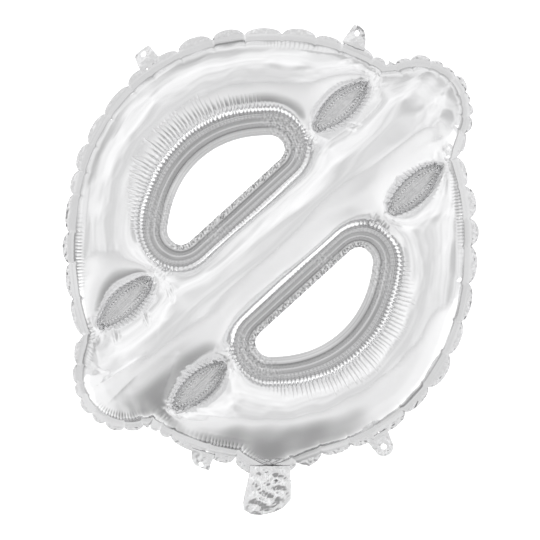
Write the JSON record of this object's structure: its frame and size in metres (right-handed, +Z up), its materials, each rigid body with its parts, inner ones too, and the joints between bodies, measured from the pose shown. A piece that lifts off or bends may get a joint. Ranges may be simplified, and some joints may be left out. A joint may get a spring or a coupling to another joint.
{
  "type": "letter foil balloon",
  "caption": "Blown foil letter shaped as a ring crossed by a slanted bar, with a sealed scalloped margin, hanging tabs and a filling neck.",
  "frame": {"origin": "centre of the letter, on the seam plane and on the bar's axis", "axes": "+Z up the letter, -Y out of its front, +X to the right as it is read"},
  "size_m": [0.3474, 0.0806, 0.406],
  "materials": {
    "film": "mirror, with fine puckers beside the seams",
    "seal": "bright, lightly crumpled",
    "valve": "clear film, glossy"
  },
  "bodies": {
    "root": {"front_panel": "film", "back_panel": "film", "outer_margin": "seal", "upper_opening_edge": "seal", "lower_opening_edge": "seal", "lens_seal_upper_right_above": "seal", "lens_seal_upper_right_below": "seal", "lens_seal_lower_left_above": "seal", "lens_seal_lower_left_below": "seal", "neck_front_film": "seal", "neck_back_film": "seal", "valve_film": "valve", "hanging_tab_upper_left": "seal", "hanging_tab_upper_right": "seal", "hanging_tab_lower_left": "seal", "hanging_tab_lower_right": "seal"}
  },
  "joints": []
}
